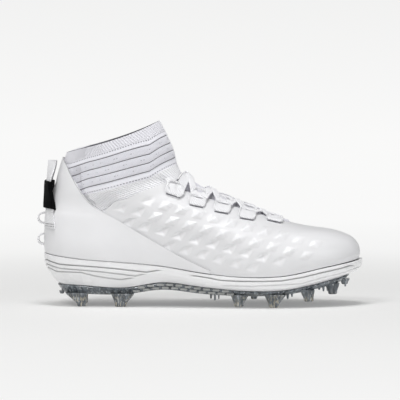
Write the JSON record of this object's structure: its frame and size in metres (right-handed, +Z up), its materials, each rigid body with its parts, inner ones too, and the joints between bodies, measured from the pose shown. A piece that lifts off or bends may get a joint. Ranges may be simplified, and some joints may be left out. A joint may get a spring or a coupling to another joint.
{
  "type": "football cleat",
  "caption": "Right-foot mid-top football cleat: hollow moulded upper, knitted ankle collar, webbing lace loops, heel pull strap and studded clear outsole.",
  "frame": {"origin": "on the floor under the middle of the shoe's box", "axes": "+X from heel to toe, +Z up, -Y towards the outer (lateral) side of the foot"},
  "size_m": [0.3118, 0.1058, 0.174],
  "materials": {
    "sole_plate": "white moulded, satin",
    "outsole": "clear smoky moulded, glossy",
    "insole": "brushed",
    "upper": "white moulded, satin",
    "heel_counter": "white smooth film, satin",
    "ankle_collar": "white ribbed knit",
    "tongue": "white knit",
    "lace_webbing": "white woven webbing",
    "lace": "white flat woven lace",
    "heel_strap": "white woven webbing",
    "strap_sleeve": "black matt",
    "heel_webbing": "white woven webbing"
  },
  "bodies": {
    "root": {"sole_plate": "sole_plate", "outsole": "outsole", "insole": "insole", "upper": "upper", "heel_counter": "heel_counter", "ankle_collar": "ankle_collar", "tongue": "tongue", "lace_loop_lateral_1": "lace_webbing", "lace_loop_lateral_2": "lace_webbing", "lace_loop_lateral_3": "lace_webbing", "lace_loop_lateral_4": "lace_webbing", "lace_loop_lateral_5": "lace_webbing", "lace_loop_medial_1": "lace_webbing", "lace_loop_medial_2": "lace_webbing", "lace_loop_medial_3": "lace_webbing", "lace_loop_medial_4": "lace_webbing", "lace_loop_medial_5": "lace_webbing", "lace_cross_1": "lace", "lace_cross_2": "lace", "lace_cross_3": "lace", "lace_cross_4": "lace", "lace_bar": "lace", "heel_strap": "heel_strap", "strap_sleeve_lateral": "strap_sleeve", "strap_sleeve_medial": "strap_sleeve", "heel_loop_upper": "heel_webbing", "heel_loop_lower": "heel_webbing"}
  },
  "joints": []
}
